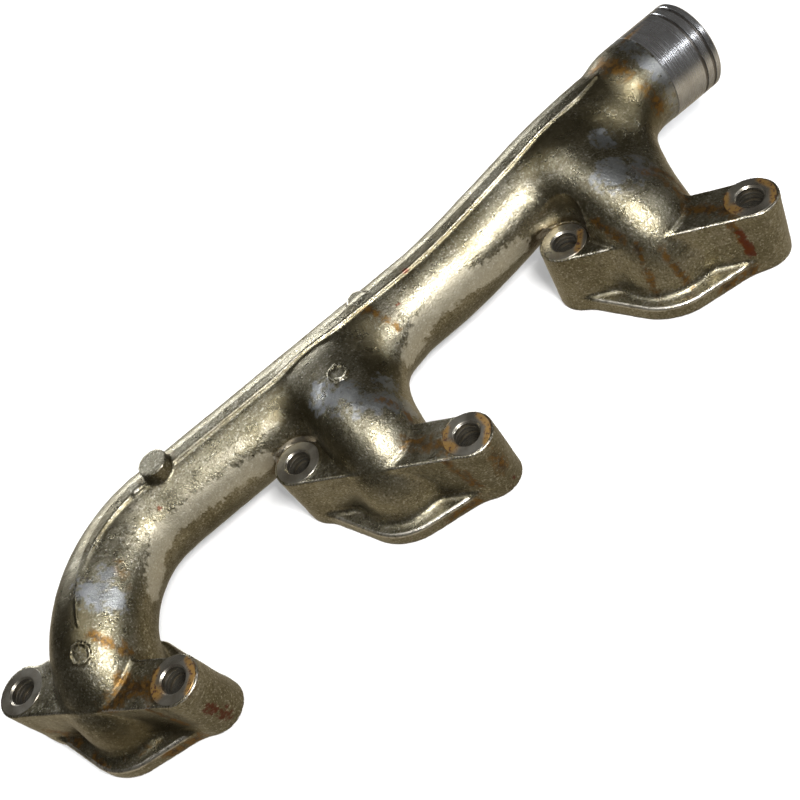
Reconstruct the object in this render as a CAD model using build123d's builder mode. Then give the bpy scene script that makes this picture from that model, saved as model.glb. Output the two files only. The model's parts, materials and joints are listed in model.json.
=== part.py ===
"""Exhaust manifold for three ports of an in-line diesel engine.

Millimetres, +Z up. The origin is the centre of the middle port on the gasket plane, the cylinder
head lies below z = 0, and +X runs along the log pipe towards the outlet spigot.
"""

from build123d import *
from math import atan2, degrees, hypot
import os

# Cylinder head interface
PORT_PITCH = 160.0
PORT_XS = (-PORT_PITCH, 0.0, PORT_PITCH)
BOLT_DX = 32.5
BOLT_DY = -25.7
BOLT_SPACING = 2 * hypot(BOLT_DX, BOLT_DY)
BOLT_LINE_ANGLE = degrees(atan2(BOLT_DY, BOLT_DX))
BOLT_HOLE_R = 6.0
BORE_R = 16.5

# Flange: low plate around the port, two tall bolt bosses and the web that joins them
PLATE_T = 8.0
PLATE_R = 28.9
PLATE_EDGE = 1.6
BOSS_H = 36.0
BOSS_FOOT_R = 12.6
BOSS_TOP_R = 12.1
WEB_R = 11.8
WEB_DROP = 0.4
CUTTER_R = 12.5

# Log pipe: level over ports 1 and 2, then rising to the outlet axis
PIPE_R = 22.2
RUNNER_R = 21.8
LOG_BORE_R = 18.0
LOG_Y = 61.0
LOG_Z = 32.8
ELBOW_X = -100.0
RISE_X = 62.0
NECK_X = 195.0
OUTLET_Z = 50.2
SPLIT_X = 80.0
ELBOW_REACH = 38.0
ELBOW_LIFT = 50.0
RUNNER_LIFT = 34.0
RUNNER_REACH = 39.0
# Where each runner's skin and its core meet the log; port 3's core keeps clear of the cutter
JOINS = {0.0: (6.0, 6.0), PORT_PITCH: (155.0, 157.5)}

# Outlet: rough collar, turned spigot and two sealing rings
COLLAR_R = 24.2
COLLAR_X = 205.0
SPIGOT_X = 213.0
SPIGOT_END_X = 239.2
SPIGOT_R = 23.3
SPIGOT_CHAMFER = 0.8
OUTLET_BORE_R = 18.4
GROOVE_XS = (230.3, 235.3)
GROOVE_W = 1.5
GROOVE_R = 20.9
RING_W = 1.3
RING_IN_R = 21.3
RING_OUT_R = 22.95
RING_GAP = 0.8

# Small cast features
RIB_W = 6.6
RIB_H = 1.3
RIB_TIP_X = 190.0
RIB_TAPER = 22.0
PAD_X = 37.0
PAD_Y = LOG_Y + 4.5
PAD_R = 5.5
PAD_TOP_Z = 56.0
STUD_X = -84.4
STUD_R = 7.5
STUD_TOP_Z = 61.4
STUD_EDGE = 0.5
ROUNDEL_R = 4.8
ROUNDEL_H = 0.6
ROUNDEL_ROOT = 3.0

SKY = 120.0


def pipe(path, radius):
    """A round bar along a path, square to it at both ends."""
    with BuildPart() as bar:
        with BuildSketch(Plane(origin=path @ 0, z_dir=path % 0)):
            Circle(radius)
        sweep(path=path)
    return bar.part


def bar_x(x0, x1, radius, centre_z=OUTLET_Z):
    """A round bar parallel to X, over the log's centre plane."""
    with BuildPart() as bar:
        with BuildSketch(Plane((x0, LOG_Y, centre_z), x_dir=(0, 1, 0), z_dir=(1, 0, 0))):
            Circle(radius)
        extrude(amount=x1 - x0)
    return bar.part


def upright(x, y, radius, z0, z1):
    """A round bar parallel to Z."""
    with BuildPart() as bar:
        with BuildSketch(Plane.XY.offset(z0)):
            with Locations((x, y)):
                Circle(radius)
        extrude(amount=z1 - z0)
    return bar.part


def boss_points(port_x):
    """Centres of a flange's two bolt bosses, the one nearer the log first."""
    return ((port_x - BOLT_DX, -BOLT_DY), (port_x + BOLT_DX, BOLT_DY))


# Pipe centrelines, each from its port or from the elbow towards the outlet
with BuildLine() as log_line:
    straight = Line((ELBOW_X, LOG_Y, LOG_Z), (RISE_X, LOG_Y, LOG_Z))
    Spline(straight @ 1, (NECK_X, LOG_Y, OUTLET_Z), tangents=[(1, 0, 0), (1, 0, 0)])
log_path = log_line.wire()


def log_height(x):
    """Height of the log's axis above the gasket plane at a given x."""
    if x <= RISE_X:
        return LOG_Z
    rise = log_line.edges().sort_by(Axis.X)[-1]
    share = (x - RISE_X) / (NECK_X - RISE_X)
    return (rise @ share).Z


with BuildLine() as elbow_line:
    Bezier(
        (-PORT_PITCH, 0, PLATE_T),
        (-PORT_PITCH, 0, ELBOW_LIFT),
        (ELBOW_X - ELBOW_REACH, LOG_Y, LOG_Z),
        (ELBOW_X, LOG_Y, LOG_Z),
    )


def runner_path(port_x, join_x):
    """Centreline of a runner from its port to the log's axis."""
    join_z = log_height(join_x)
    with BuildLine() as runner_line:
        Bezier(
            (port_x, 0, PLATE_T),
            (port_x, 0, RUNNER_LIFT),
            (join_x, LOG_Y - RUNNER_REACH, join_z),
            (join_x, LOG_Y, join_z),
        )
    return runner_line.edge()


# Bars that give the outer skin and the gas passage of each pipe
log_bar = pipe(log_path, PIPE_R)
log_skin = pipe(log_path, PIPE_R + RIB_H)
log_passage = pipe(log_path, LOG_BORE_R)
elbow_bar = pipe(elbow_line.edge(), PIPE_R)
elbow_skin = pipe(elbow_line.edge(), PIPE_R + RIB_H)
elbow_passage = pipe(elbow_line.edge(), BORE_R)
runner_bars = {x: pipe(runner_path(x, skin), RUNNER_R) for x, (skin, _) in JOINS.items()}
runner_passages = {x: pipe(runner_path(x, core), BORE_R) for x, (_, core) in JOINS.items()}
cutters = [
    upright(x, y, CUTTER_R, BOSS_H, SKY) for port_x in PORT_XS for x, y in boss_points(port_x)
]

nodes = {}

# End elbow: port 1's runner, which turns into the log
with BuildPart() as end_elbow:
    add(elbow_bar)
    add(elbow_passage, mode=Mode.SUBTRACT)
nodes["end_elbow"] = end_elbow.part

# Runners of ports 2 and 3, which enter the side of the log
for number, port_x in ((2, 0.0), (3, PORT_PITCH)):
    with BuildPart() as runner:
        add(runner_bars[port_x])
        add(log_bar, mode=Mode.SUBTRACT)
        add(runner_passages[port_x], mode=Mode.SUBTRACT)
        for cutter in cutters:
            add(cutter, mode=Mode.SUBTRACT)
    nodes[f"port_{number}_runner"] = runner.part

# Log pipe in two lengths, open where the runners enter
for name, x0, x1 in (
    ("log_pipe_rear", ELBOW_X, SPLIT_X),
    ("log_pipe_front", SPLIT_X, NECK_X),
):
    with BuildPart() as log_pipe:
        add(log_bar)
        add(log_passage, mode=Mode.SUBTRACT)
        for passage in runner_passages.values():
            add(passage, mode=Mode.SUBTRACT)
        for cutter in cutters:
            add(cutter, mode=Mode.SUBTRACT)
        with Locations(((x0 + x1) / 2, LOG_Y, 0)):
            Box(x1 - x0, SKY, 2 * SKY, mode=Mode.INTERSECT)
    nodes[name] = log_pipe.part

# Outlet neck: opens from the log's bore to the outlet's, and ends in the rough collar
with BuildPart() as outlet_neck:
    with BuildSketch(Plane.XZ.offset(-LOG_Y)):
        with BuildLine():
            Polyline(
                (NECK_X, OUTLET_Z + LOG_BORE_R),
                (NECK_X, OUTLET_Z + PIPE_R),
                (COLLAR_X, OUTLET_Z + COLLAR_R),
                (SPIGOT_X - SPIGOT_CHAMFER, OUTLET_Z + COLLAR_R),
                (SPIGOT_X, OUTLET_Z + SPIGOT_R),
                (SPIGOT_X, OUTLET_Z + OUTLET_BORE_R),
                close=True,
            )
        make_face()
    revolve(axis=Axis((0, LOG_Y, OUTLET_Z), (1, 0, 0)))
nodes["outlet_neck"] = outlet_neck.part

# Turned spigot with its two ring grooves
with BuildPart() as outlet_spigot:
    add(bar_x(SPIGOT_X, SPIGOT_END_X, SPIGOT_R))
    chamfer(outlet_spigot.faces().sort_by(Axis.X)[-1].edges(), SPIGOT_CHAMFER)
    add(bar_x(SPIGOT_X, SPIGOT_END_X, OUTLET_BORE_R), mode=Mode.SUBTRACT)
    for groove_x in GROOVE_XS:
        x0 = groove_x - GROOVE_W / 2
        groove = bar_x(x0, x0 + GROOVE_W, SPIGOT_R + 1) - bar_x(x0, x0 + GROOVE_W, GROOVE_R)
        add(groove, mode=Mode.SUBTRACT)
nodes["outlet_spigot"] = outlet_spigot.part

# Sealing rings: open at a narrow gap, free to turn in their grooves
for name, groove_x, gap_side in (
    ("sealing_ring_inner", GROOVE_XS[0], -1),
    ("sealing_ring_outer", GROOVE_XS[1], 1),
):
    x0 = groove_x - RING_W / 2
    with BuildPart() as ring:
        add(bar_x(x0, x0 + RING_W, RING_OUT_R))
        add(bar_x(x0, x0 + RING_W, RING_IN_R), mode=Mode.SUBTRACT)
        with Locations((groove_x, LOG_Y, OUTLET_Z + gap_side * (RING_IN_R + RING_OUT_R) / 2)):
            Box(2 * RING_W, RING_GAP, RING_OUT_R - RING_IN_R + 2, mode=Mode.SUBTRACT)
    nodes[name] = ring.part

# Flanges, numbered from the elbow end
for number, port_x in enumerate(PORT_XS, start=1):
    near, far = boss_points(port_x)
    pipe_bar = elbow_bar if number == 1 else runner_bars[port_x]

    bosses = {}
    for side, (x, y) in (("inner", near), ("outer", far)):
        with BuildPart() as boss:
            with Locations((x, y, BOSS_H / 2)):
                Cone(BOSS_FOOT_R, BOSS_TOP_R, BOSS_H)
                Cylinder(BOLT_HOLE_R, BOSS_H, mode=Mode.SUBTRACT)
            add(pipe_bar, mode=Mode.SUBTRACT)
        bosses[side] = boss.part
        nodes[f"port_{number}_bolt_boss_{side}"] = boss.part

    with BuildPart() as plate:
        with BuildSketch():
            with Locations((port_x, 0)):
                Circle(PLATE_R)
            with Locations(near, far):
                Circle(BOSS_FOOT_R)
            make_hull()
        extrude(amount=PLATE_T)
        fillet(plate.faces().sort_by(Axis.Z)[-1].edges(), PLATE_EDGE)
        add(upright(port_x, 0, BORE_R, 0, PLATE_T), mode=Mode.SUBTRACT)
        with Locations((*near, BOSS_H / 2), (*far, BOSS_H / 2)):
            Cone(BOSS_FOOT_R, BOSS_TOP_R, BOSS_H, mode=Mode.SUBTRACT)
    nodes[f"port_{number}_flange_plate"] = plate.part

    with BuildPart() as web:
        with BuildSketch(Plane.XY.offset(PLATE_T)):
            with Locations(Location((port_x, 0), BOLT_LINE_ANGLE)):
                Rectangle(BOLT_SPACING, 2 * WEB_R)
        extrude(amount=BOSS_H - WEB_DROP - PLATE_T)
        add(pipe_bar, mode=Mode.SUBTRACT)
        with Locations((*near, BOSS_H / 2), (*far, BOSS_H / 2)):
            Cone(BOSS_FOOT_R, BOSS_TOP_R, BOSS_H, mode=Mode.SUBTRACT)
    nodes[f"port_{number}_web"] = web.part

# Flat rib along the top of the log, tapering to a point near the neck
with BuildPart() as log_rib:
    with BuildSketch(Plane.XY.offset(LOG_Z)):
        with BuildLine():
            Polyline(
                (ELBOW_X, LOG_Y - RIB_W / 2),
                (RIB_TIP_X - RIB_TAPER, LOG_Y - RIB_W / 2),
                (RIB_TIP_X, LOG_Y),
                (RIB_TIP_X - RIB_TAPER, LOG_Y + RIB_W / 2),
                (ELBOW_X, LOG_Y + RIB_W / 2),
                close=True,
            )
        make_face()
    extrude(amount=SKY)
    add(log_skin, mode=Mode.INTERSECT)
    add(log_bar, mode=Mode.SUBTRACT)
    for runner_bar in runner_bars.values():
        add(runner_bar, mode=Mode.SUBTRACT)
    add(upright(STUD_X, LOG_Y, STUD_R, 0, SKY), mode=Mode.SUBTRACT)
nodes["log_rib"] = log_rib.part

# The same rib carried round the elbow, narrowing to a point above port 1
with BuildPart() as elbow_rib:
    with BuildSketch(Plane.XY.offset(LOG_Z)):
        with BuildLine():
            outer_edge = Spline(
                (ELBOW_X, LOG_Y + RIB_W / 2),
                (-126.0, 50.5),
                (-141.0, 28.0),
                (-147.0, 12.5),
                tangents=[(-1, 0), (-0.2, -1)],
            )
            Spline(
                (ELBOW_X, LOG_Y - RIB_W / 2),
                (-121.0, 48.5),
                (-138.5, 28.0),
                outer_edge @ 1,
                tangents=[(-1, 0), (-0.4, -1)],
            )
            Line((ELBOW_X, LOG_Y + RIB_W / 2), (ELBOW_X, LOG_Y - RIB_W / 2))
        make_face()
    extrude(amount=SKY)
    add(elbow_skin, mode=Mode.INTERSECT)
    add(elbow_bar, mode=Mode.SUBTRACT)
nodes["elbow_rib"] = elbow_rib.part

# Small pad that swells out behind the rib
with BuildPart() as rib_pad:
    add(upright(PAD_X, PAD_Y, PAD_R, LOG_Z, PAD_TOP_Z))
    add(log_bar, mode=Mode.SUBTRACT)
    add(log_rib.part, mode=Mode.SUBTRACT)
nodes["rib_pad"] = rib_pad.part

# Thin blank discs on the crown of the elbow and of port 2's runner
for name, centre, normal, pipe_bar in (
    ("elbow_roundel", (-154.2, 5.2, 52.3), (-0.10, -0.44, 0.89), elbow_bar),
    ("runner_roundel", (7.4, 34.1, 54.2), (0.24, -0.05, 0.97), runner_bars[0.0]),
):
    with BuildPart() as roundel:
        with BuildSketch(Plane(centre, z_dir=normal).offset(ROUNDEL_H)):
            Circle(ROUNDEL_R)
        extrude(amount=-ROUNDEL_ROOT)
        add(pipe_bar, mode=Mode.SUBTRACT)
        add(log_bar, mode=Mode.SUBTRACT)
    nodes[name] = roundel.part

# Round stud boss on top of the log
with BuildPart() as stud_boss:
    add(upright(STUD_X, LOG_Y, STUD_R, LOG_Z, STUD_TOP_Z))
    chamfer(stud_boss.faces().sort_by(Axis.Z)[-1].edges(), STUD_EDGE)
    add(log_bar, mode=Mode.SUBTRACT)
nodes["stud_boss"] = stud_boss.part

os.makedirs("parts", exist_ok=True)
for name, part in nodes.items():
    part.label = name
    export_step(part, f"parts/{name}.step")
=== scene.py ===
import json
import math

import bpy
import numpy as np
from mathutils import Euler, Matrix, Vector


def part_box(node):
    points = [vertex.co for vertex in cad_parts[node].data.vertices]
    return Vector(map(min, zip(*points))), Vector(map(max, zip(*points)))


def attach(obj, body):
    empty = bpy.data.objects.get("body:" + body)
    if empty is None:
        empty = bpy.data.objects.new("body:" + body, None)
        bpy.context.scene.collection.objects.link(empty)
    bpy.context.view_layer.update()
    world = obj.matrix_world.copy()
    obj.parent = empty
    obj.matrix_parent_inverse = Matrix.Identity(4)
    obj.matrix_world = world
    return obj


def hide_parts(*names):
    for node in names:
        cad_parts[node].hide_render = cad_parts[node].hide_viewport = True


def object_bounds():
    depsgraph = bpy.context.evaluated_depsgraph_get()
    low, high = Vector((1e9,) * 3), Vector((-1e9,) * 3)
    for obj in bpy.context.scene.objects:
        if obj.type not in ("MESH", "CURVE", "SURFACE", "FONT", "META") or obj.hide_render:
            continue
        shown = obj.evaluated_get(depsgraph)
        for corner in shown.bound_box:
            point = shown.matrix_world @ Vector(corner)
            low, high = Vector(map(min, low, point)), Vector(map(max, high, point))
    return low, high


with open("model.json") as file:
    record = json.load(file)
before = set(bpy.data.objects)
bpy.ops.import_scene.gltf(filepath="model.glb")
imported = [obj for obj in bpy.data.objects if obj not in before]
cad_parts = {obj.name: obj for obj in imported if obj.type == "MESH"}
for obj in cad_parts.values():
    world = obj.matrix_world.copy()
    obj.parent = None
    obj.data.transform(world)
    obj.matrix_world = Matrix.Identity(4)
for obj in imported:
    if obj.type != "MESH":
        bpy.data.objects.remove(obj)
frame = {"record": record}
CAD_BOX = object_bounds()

# The casting is one implicit surface in the CAD's frame, in millimetres. It is meshed on a grid with
# surface nets and split into one closed piece per CAD node, whose seams share their vertices. The
# turned spigot, the spot faces and the sealing rings are lathed.

MM = 0.001
SEED = 524
CASTING = "casting"


def millimetres(point):
    return np.array(point, float) / MM


def node_box(name):
    low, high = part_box(name)
    return millimetres(low), millimetres(high)


# Driving dimensions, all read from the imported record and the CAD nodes

MOUNTS = {mount["name"]: mount for mount in frame["record"]["mounts"]}
PORTS = [millimetres(MOUNTS[f"port_{k}_bore"]["pos_m"]) for k in (1, 2, 3)]
BORE_R = MOUNTS["port_1_bore"]["dims"]["r_mm"]
HOLE_R = MOUNTS["port_1_bolts"]["dims"]["hole_r_mm"]
OUTLET_AXIS = millimetres(MOUNTS["outlet_spigot_od"]["pos_m"])
SPIGOT_R = MOUNTS["outlet_spigot_od"]["dims"]["r_mm"]
OUTLET_BORE_R = MOUNTS["outlet_bore"]["dims"]["r_mm"]


def bolt_offset():
    """Centre of a flange's outer boss, seen from its port."""
    low, high = node_box("port_2_bolt_boss_outer")
    return ((low + high) / 2 - PORTS[1])[:2]


BOLT = bolt_offset()
BOSS_TOP_Z = node_box("port_2_bolt_boss_outer")[1][2]
PLATE_TOP_Z = node_box("port_2_flange_plate")[1][2]
WEB_TOP_Z = node_box("port_2_web")[1][2]
LOG_Y = OUTLET_AXIS[1]
OUTLET_Z = OUTLET_AXIS[2]
ELBOW_X = node_box("log_pipe_rear")[0][0]
SPLIT_X = node_box("log_pipe_rear")[1][0]
NECK_X = node_box("log_pipe_front")[1][0]
SPIGOT_X, SPIGOT_END_X = (corner[0] for corner in node_box("outlet_spigot"))
LOG_R = node_box("log_pipe_rear")[1][1] - LOG_Y
COLLAR_R = node_box("outlet_neck")[1][1] - LOG_Y
LOG_Z = node_box("log_pipe_rear")[0][2] + LOG_R
STUD_LOW, STUD_HIGH = node_box("stud_boss")
STUD = (STUD_LOW + STUD_HIGH) / 2
STUD_R = (STUD_HIGH - STUD_LOW)[0] / 2
PAD_LOW, PAD_HIGH = node_box("rib_pad")

# Shapes that the frame doesn't give. An EDGE is the radius of a rounded edge.

# Where the level log starts to rise
RISE_X = 62.0
# The log draws in before the collar: from x, to x, and by how much
DRAW_IN = ((95, 145, 0.4), (140, 195, 1.5))
COLLAR_X = 203.0
COLLAR_INSET = 1.0
RUNNER_R = 22.0
BELLY_R = (18.5, 14.0)
ELBOW_BELLY_R = 16.5
# Bars run on this far past the face that trims them
OVERRUN = 5.0

LOG_BORE_R = 18.0
BORE_OVERRUN = 20.0
PORT_MOUTH_Z = 6.0

PLATE_R = 28.9
PLATE_EDGE = 1.6
WEB_R = 11.1
WEB_SHIFT = -0.55
WEB_EDGE = 1.0
FLANGE_REACH = (60.0, 54.0)
# The direction across a flange's line of bolts
ACROSS = np.array([0.62, 0.785])

BOSS_FOOT_R = 11.7
BOSS_CROWN_R = 11.5
BOSS_EDGE = 1.0
# Both cores sit a little off their holes, and the outer one leans and comes back as it rises
OUTER_BOSS_EXTRA_R = 0.2
OUTER_BOSS_SHIFT = 1.1
OUTER_BOSS_RETURN = 0.4
OUTER_BOSS_LEAN = -0.5
INNER_BOSS_EXTRA_R = 0.6
INNER_BOSS_SHIFT = 0.2
CUTTER_R = 12.5
CUTTER_EDGE = 0.5
CAST_HOLE_R = HOLE_R + 1.6

RIB_HALF = 3.3
RIB_H = 1.3
RIB_EDGE = 0.9
RIB_TIP_X = 192.0
RIB_TAPER = 16.0
RIB_CUT = 3.0
RIB_FLAT = 5.0
RIB_FLOOR_Z = LOG_Z + 12
ELBOW_RIB_FLOOR_Z = LOG_Z + 8
ELBOW_RIB_TAPER = 0.75
ELBOW_RIB_POWER = 0.8

FIN_R = 0.4
FIN_LIFT = 0.2
FIN_INSET = 1.0
FIN_START_X = -8.0
FIN_MIDDLE_X = 8.0
FIN_REACH = (18.0, 22.0, 5.0)
PAD_Y = LOG_Y + 4.5
PAD_EDGE = 1.5
STUD_EDGE = 0.5

ROUNDEL_R = 5.0
ROUNDEL_RISE = 0.35
ROUNDEL_EDGE = 0.2
ROUNDEL_REACH = 4.0
# The raised rim, as distances in from the disc's edge
RIM_RISE = 0.40
RIM_INSIDE = 1.5
RIM_OUTSIDE = 0.9

FLOOR_CLEARANCE = 0.03
# How deep a cast detail's own piece reaches into the skin under it
DETAIL_ROOT = 1.3

# How softly each shape flows into the ones before it
BLEND = {
    "elbow": 1.0,
    "belly": 8.0,
    "collar": 3.0,
    "runner": 12.0,
    "web": 1.0,
    "plate": 3.5,
    "fin": 0.6,
    "core": 3.0,
    "cutter": 0.6,
    "bore": 1.5,
    "end": 1.0,
}
# The fillet between pipes and flanges, wide at the foot and narrow from FILLET_TOP_Z up
FOOT_FILLET = 4.5
CROWN_FILLET = 1.6
FILLET_FOOT_Z = 22.0
FILLET_TOP_Z = 32.0
# The elbow's own wider fillet, centred off its port
ELBOW_FILLET = 7.0
ELBOW_FILLET_PLACE = (16, 13)
ELBOW_FILLET_SPREAD = 10.0

# Lumps of the sand mould, each a height and a size; they are calmer along the rib
LUMPS = ((0.10, 7.0), (0.05, 2.6))
LUMP_REACH = 4.0
LUMP_SHIFT = 50
RIB_CALM = 0.7
RIB_CALM_SPREAD = 6.0

ELBOW_PATH = [
    (ELBOW_X, LOG_Y, LOG_Z),
    (ELBOW_X - 35, LOG_Y + 0.5, LOG_Z),
    (PORTS[0][0] - 4, 0, 50),
    (PORTS[0][0], 0, 0),
]
ELBOW_BELLY = [(-153, 3, 0), (-153, 6, 33), (-138, 38, 38), (-108, 57, 33)]
RISE_PATH = [
    (RISE_X, LOG_Y, LOG_Z),
    (RISE_X + (NECK_X - RISE_X) / 3, LOG_Y, LOG_Z),
    (NECK_X - (NECK_X - RISE_X) / 3, LOG_Y, OUTLET_Z),
    (NECK_X, LOG_Y, OUTLET_Z),
]
# Each runner: its main tube, and the thinner belly that fairs it into the log on the outlet side
RUNNERS = {
    1: (
        [(0, 0, 0), (0, 0, 34), (3, 24, 33), (3, 44, 34)],
        [(4, 8, 12), (4, 8, 28), (10, 34, 33), (34, 50, 33)],
    ),
    2: (
        [(160, 0, 0), (160, 0, 34), (156, 24, 37), (155, 44, 43)],
        [(165, 6, 12), (165, 6, 30), (172, 29, 37), (184, 47, 45)],
    ),
}
# The passages inside the runners
CORES = {
    1: RUNNERS[1][0],
    2: [(160, 0, 0), (160, 0, 34), (159, 24, 38), (158, 44, 44)],
}
ELBOW_RIB_PATH = [(-99, 61), (-117, 61), (-138, 43), (-148, 16)]
# The way each blank disc faces
ROUNDELS = {"elbow_roundel": (-0.10, -0.44, 0.89), "runner_roundel": (0.24, -0.05, 0.97)}
# Outlines in the plane, round a port's centre: start, end, and the radius at each
PLATE = [((0, 0), -BOLT, PLATE_R, 10.5), ((0, 0), BOLT + (-2.5, 2.5), PLATE_R, 11.0)]
PLATE_LOBE = [((0, 0), (17, 13), PLATE_R, 11.0), ((17, 13), BOLT + (0, 3), 11.0, 10.5)]
WEB = [(WEB_SHIFT * ACROSS - BOLT, WEB_SHIFT * ACROSS + BOLT, WEB_R, WEB_R)]
WEB_LOBE = [(-BOLT, (-8, 16), 9.8, 12.0)]
# The elbow's flange has a lobe more than the others
PLATES = [PLATE + PLATE_LOBE, PLATE, PLATE]
WEBS = [WEB + WEB_LOBE, WEB, WEB]

# Stains, scrapes and a dark film on the skin, each a radius and a line of points, measured from a
# port's centre; the film is partly painted shade.
# Every flange rusts in the same places: on the web beside the runner, round the outer bolt hole,
# down the web's face, and along the foot of the plate.
PORT_RUST = [
    (6, [(12, -8, 36), (18, -16, 36), (24, -26, 36)]),
    (3, [(14, 12, 50), (20, 6, 42), (20, 0, 36)]),
    (3, [(18, -29, 34), (21, -33, 14)]),
    (5, [(6, -30, 4), (20, -34, 4)]),
    (3, [(42, -22, 36), (42, -30, 36), (36, -36, 36)]),
    (3, [(24, -20, 36), (28, -16, 36)]),
]
STAINS = {
    "rust": {
        0: [
            (7, [(2, -14, 37), (14, -14, 36), (22, -20, 36)]),
            (5, [(-12, -18, 6), (4, -24, 5)]),
            (4, [(38, 34, 51), (34, 24, 46)]),
            (3, [(14, 10, 52), (20, 0, 40)]),
            (5, [(-36, 14, 16), (-30, 4, 8)]),
            (4, [(-25, -8, 8), (-22, -18, 8)]),
        ],
        1: [
            (3, [(34, 60, 54), (38, 54, 54), (42, 42, 46)]),
            (3, [(22, -32, 24), (24, -33, 12)]),
            (5, [(36, -37, 28), (36, -37, 16)]),
        ],
        2: [
            (7, [(33, 66, 72), (38, 52, 71)]),
            (5, [(40, 44, 62), (42, 36, 50)]),
            (4, [(49, 66, 73), (52, 66, 73)]),
            (4, [(6, 14, 53), (12, 8, 47), (17, -4, 36)]),
            (3, [(-15, -6, 36), (-18, -14, 10)]),
            (3, [(-8, -12, 33), (-5, -22, 10)]),
            (4, [(-20, 13, 46), (-18, 0, 39)]),
            (3, [(-24, 24, 36), (-32, 16, 36)]),
        ],
    },
    "red": {
        0: [(2, [(66, 46, 49)]), (4, [(36, -37, 20), (38, -37, 8)])],
        1: [
            (2, [(50, 48, 52)]),
            (2, [(63, 58, 56)]),
            (3, [(-40, 32, 36)]),
            (4, [(35, -38, 5)]),
            (2.5, [(26, -20, 36)]),
        ],
        2: [(2.5, [(20, -31, 28), (22, -33, 12)])],
    },
    "patch": {
        0: [(10, [(22, 28, 56), (28, 20, 48)]), (7, [(32, 30, 54)])],
        1: [(11, [(-5, 30, 54), (6, 16, 53)]), (9, [(14, 11, 48), (20, 6, 38)]), (8, [(22, 20, 45)])],
        2: [
            (11, [(-3, 17, 58), (9, 13, 52)]),
            (8, [(8, 36, 60)]),
            (8, [(50, 80, 66), (50, 61, 74), (50, 43, 66), (50, 37, 50), (50, 42, 34)]),
        ],
    },
    # The dark film is partly oil and partly painted shade over the neck, the log's top by the rib and
    # the domes' flanks
    "oil_film_and_shade": {
        0: [
            (13, [(16, 34, 54), (8, 14, 52)]),
            (10, [(50, 62, 57), (30, 50, 58)]),
            (14, [(-20, 2, 20), (0, -20, 18), (18, -28, 14)]),
        ],
        1: [
            (14, [(64, 60, 60), (100, 60, 62)]),
            (12, [(32, 56, 54), (26, 38, 48), (22, 24, 44)]),
            (12, [(-22, 46, 52), (-16, 28, 50), (-14, 8, 40)]),
            (8, [(-26, 24, 36), (-16, 14, 38)]),
        ],
        2: [
            (20, [(28, 58, 72), (32, 44, 66), (36, 34, 52)]),
            (16, [(-16, 52, 66), (10, 46, 67), (22, 30, 60)]),
            (10, [(-22, 40, 50), (-16, 22, 50)]),
        ],
    },
    "smear": {
        0: [(8, [(40, 26, 33), (52, 37, 40), (68, 41, 42), (100, 40, 40), (114, 39, 37)])],
        1: [(8, [(40, 34, 34), (54, 40, 40), (75, 41, 42), (95, 39, 39), (112, 39, 38)])],
    },
}

# Distances given for points outside a shape's window, where the exact one doesn't matter
OUTSIDE = 20.0
FAR = 14.0


def smooth_min(a, b, k):
    h = np.clip(0.5 + 0.5 * (b - a) / k, 0, 1)
    return b + (a - b) * h - k * h * (1 - h)


def smooth_max(a, b, k):
    return -smooth_min(-a, -b, k)


def ramp(value, start, end):
    """0 before start, 1 after end, smooth between."""
    t = np.clip((value - start) / (end - start), 0, 1)
    return t * t * (3 - 2 * t)


def bezier(path, t):
    """Point, first and second derivative of a cubic Bezier curve at each t."""
    p0, p1, p2, p3 = np.array(path, float)
    t = t[:, None]
    s = 1 - t
    point = s**3 * p0 + 3 * s * s * t * p1 + 3 * s * t * t * p2 + t**3 * p3
    first = 3 * (s * s * (p1 - p0) + 2 * s * t * (p2 - p1) + t * t * (p3 - p2))
    second = 6 * (s * (p2 - 2 * p1 + p0) + t * (p3 - 2 * p2 + p1))
    return point, first, second


def nearest_on_curve(points, path, pieces=7, steps=2):
    """Parameter and distance of the nearest point of a cubic Bezier curve."""
    corners = bezier(path, np.linspace(0, 1, pieces + 1))[0]
    best = np.full(len(points), np.inf)
    at = np.zeros(len(points))
    for i in range(pieces):
        along = corners[i + 1] - corners[i]
        away = points - corners[i]
        t = np.clip(away @ along / (along @ along), 0, 1)
        gap = ((away - t[:, None] * along) ** 2).sum(1)
        closer = gap < best
        best = np.where(closer, gap, best)
        at = np.where(closer, (i + t) / pieces, at)
    for _ in range(steps):
        point, first, second = bezier(path, at)
        away = point - points
        slope = (away * first).sum(1)
        bend = (first * first).sum(1) + (away * second).sum(1)
        at = np.clip(at - slope / np.maximum(bend, 0.3 * (first * first).sum(1)), 0, 1)
    return at, np.linalg.norm(bezier(path, at)[0] - points, axis=1)


def tube(points, path, radius, end_radius=None):
    """Distance to a round bar along a Bezier curve, capped where the points are far away."""
    radius_at_end = radius if end_radius is None else end_radius
    reach = max(radius, radius_at_end) + OUTSIDE
    control = np.array(path, float)
    near = ((points > control.min(0) - reach) & (points < control.max(0) + reach)).all(1)
    distance = np.full(len(points), OUTSIDE)
    if near.any():
        at, gap = nearest_on_curve(points[near], path)
        distance[near] = gap - radius - (radius_at_end - radius) * at
    return distance


def bar_x(points, x0, x1, radius, z):
    """Distance to a round bar with domed ends, parallel to X over the log's centre plane."""
    x, y, height = points.T
    return np.hypot(np.hypot(x - np.clip(x, x0, x1), y - LOG_Y), height - z) - radius


def rounded_corner(a, b, radius):
    """The corner where two surfaces meet, rounded outwards."""
    a = a + radius
    b = b + radius
    return np.minimum(np.maximum(a, b), 0) + np.hypot(np.maximum(a, 0), np.maximum(b, 0)) - radius


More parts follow.
